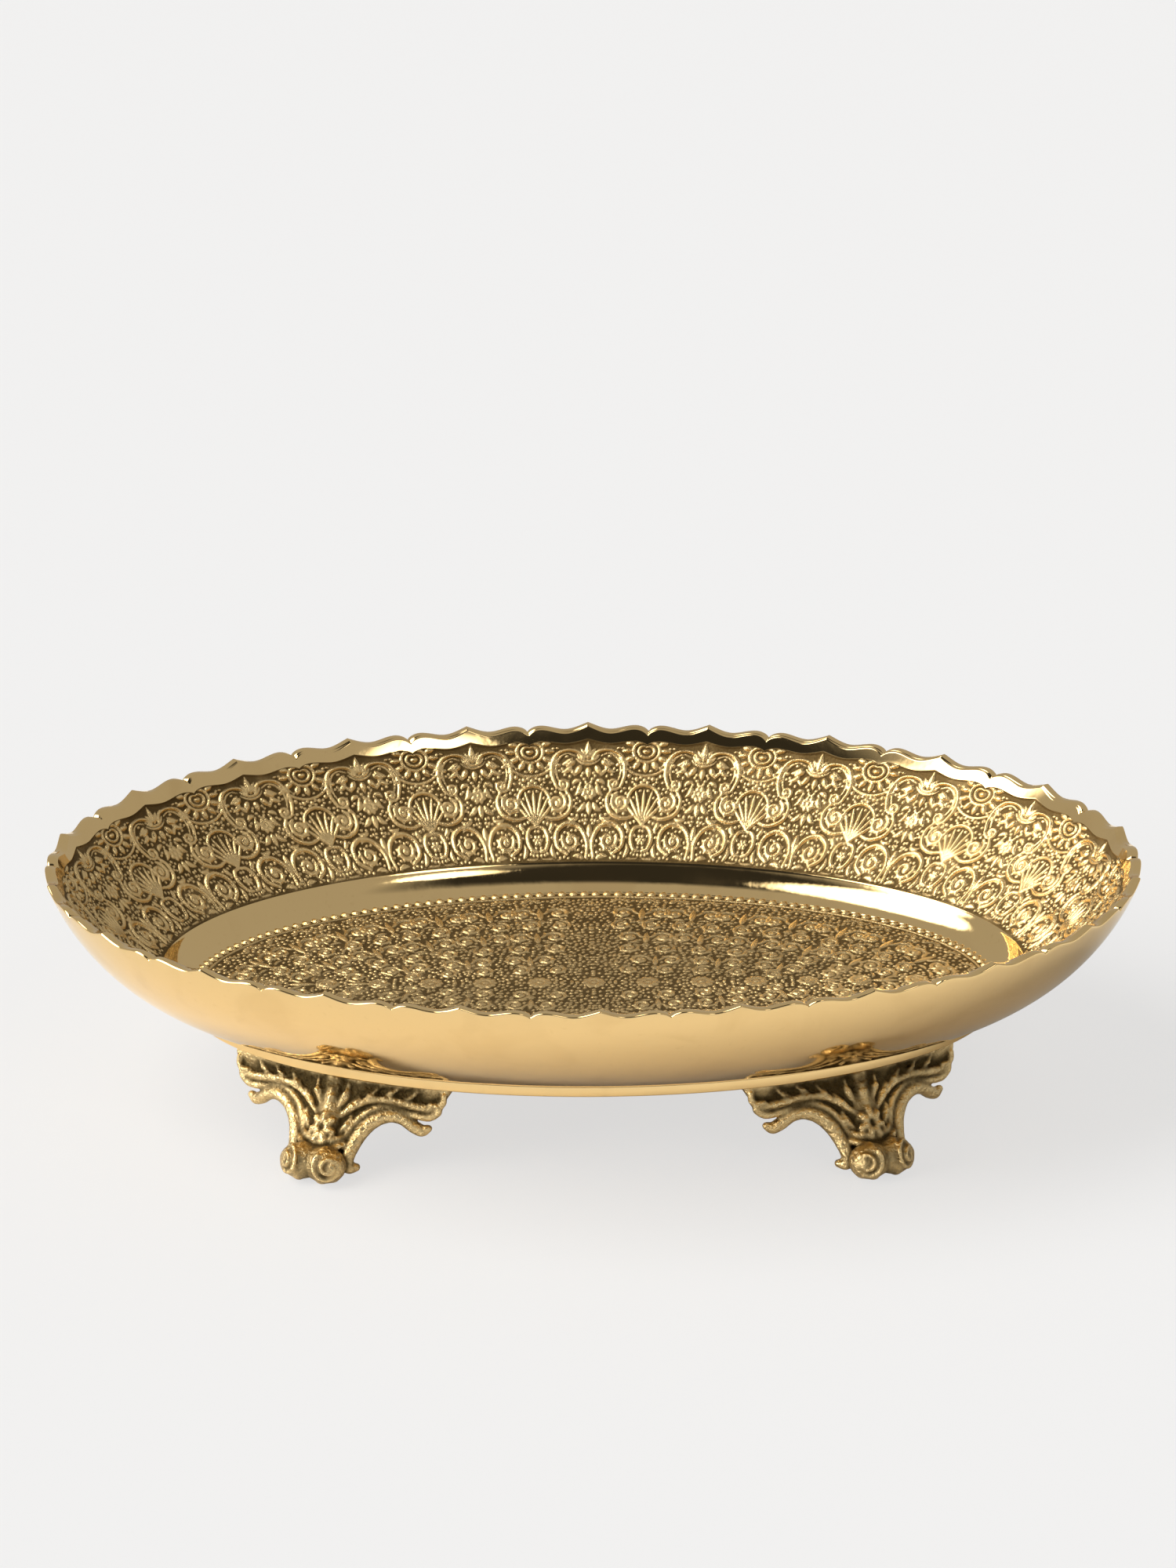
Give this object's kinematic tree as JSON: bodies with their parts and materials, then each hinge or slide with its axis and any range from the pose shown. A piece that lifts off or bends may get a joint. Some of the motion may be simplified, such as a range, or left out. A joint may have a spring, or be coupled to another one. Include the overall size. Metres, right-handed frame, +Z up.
{
  "type": "brass tray",
  "caption": "Oval cast brass serving tray with a scalloped rim, chased floral relief inside, a polished outside and scroll feet screwed to a base ring.",
  "frame": {"origin": "on the table, under the middle of the oval, in the plane of the toes' undersides", "axes": "+X along the tray's length to the right, +Y to the back, +Z up"},
  "size_m": [0.3588, 0.238, 0.082],
  "materials": {
    "polished_brass": "polished cast brass, mirror bright outside and on the rim, with a chased relief darkened in its hollows inside",
    "cast_brass": "rough sand-cast brass, brushed bright on the high places, dark brown patina in the hollows",
    "screw_brass": "turned brass, dulled by handling"
  },
  "bodies": {
    "root": {"tray_body": "polished_brass", "base_ring": "polished_brass", "foot_front_left": "cast_brass", "foot_front_right": "cast_brass", "foot_rear_left": "cast_brass", "foot_rear_right": "cast_brass", "screw_front_left_outer": "screw_brass", "screw_front_left_inner": "screw_brass", "screw_front_right_outer": "screw_brass", "screw_front_right_inner": "screw_brass", "screw_rear_left_outer": "screw_brass", "screw_rear_left_inner": "screw_brass", "screw_rear_right_outer": "screw_brass", "screw_rear_right_inner": "screw_brass", "washer_front_left_outer": "screw_brass", "washer_front_left_inner": "screw_brass", "washer_front_right_outer": "screw_brass", "washer_front_right_inner": "screw_brass", "washer_rear_left_outer": "screw_brass", "washer_rear_left_inner": "screw_brass", "washer_rear_right_outer": "screw_brass", "washer_rear_right_inner": "screw_brass"}
  },
  "joints": []
}
